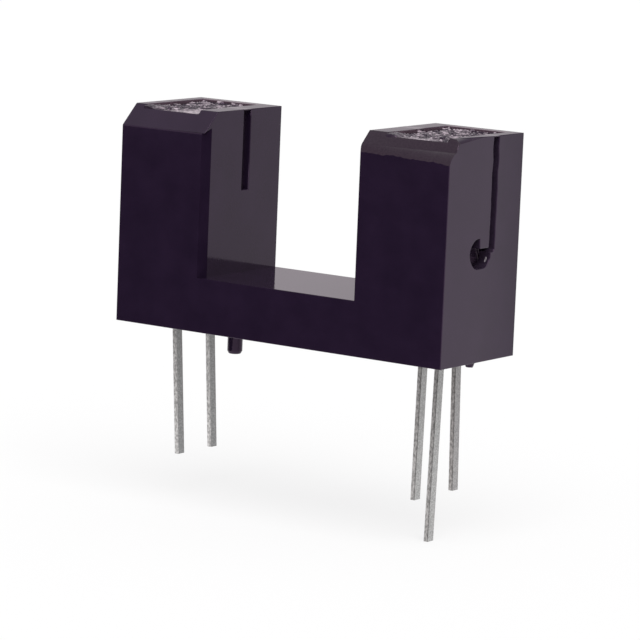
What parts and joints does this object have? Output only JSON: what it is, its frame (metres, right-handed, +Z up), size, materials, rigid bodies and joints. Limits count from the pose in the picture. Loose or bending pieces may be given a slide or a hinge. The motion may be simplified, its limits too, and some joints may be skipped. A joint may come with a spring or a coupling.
{
  "type": "slotted optical switch",
  "caption": "U-shaped optical switch for a circuit board: an infrared emitter and a photodetector in facing towers sense whatever enters the slot between them.",
  "frame": {"origin": "on the board's surface, under the middle of the housing, at the tips of the standoffs", "axes": "+X from the emitter tower to the detector tower, +Y from the chamfered front to the back, +Z up from the board; the leads point to -Z"},
  "size_m": [0.02, 0.0066, 0.0204],
  "materials": {
    "moulding": "glossy dark purple-black moulding",
    "resin": "glossy crinkled potting resin",
    "lead": "tin plated, with sheared edges",
    "clear_epoxy": "clear epoxy",
    "chip": "polished semiconductor",
    "bond_wire": "drawn gold"
  },
  "bodies": {
    "root": {"housing": "moulding", "emitter_package": "clear_epoxy", "emitter_chip": "chip", "emitter_bond_wire": "bond_wire", "anode_lead": "lead", "cathode_lead": "lead", "emitter_potting": "resin", "detector_package": "clear_epoxy", "detector_chip": "chip", "supply_bond_wire": "bond_wire", "output_bond_wire": "bond_wire", "supply_lead": "lead", "ground_lead": "lead", "output_lead": "lead", "detector_potting": "resin"}
  },
  "joints": []
}
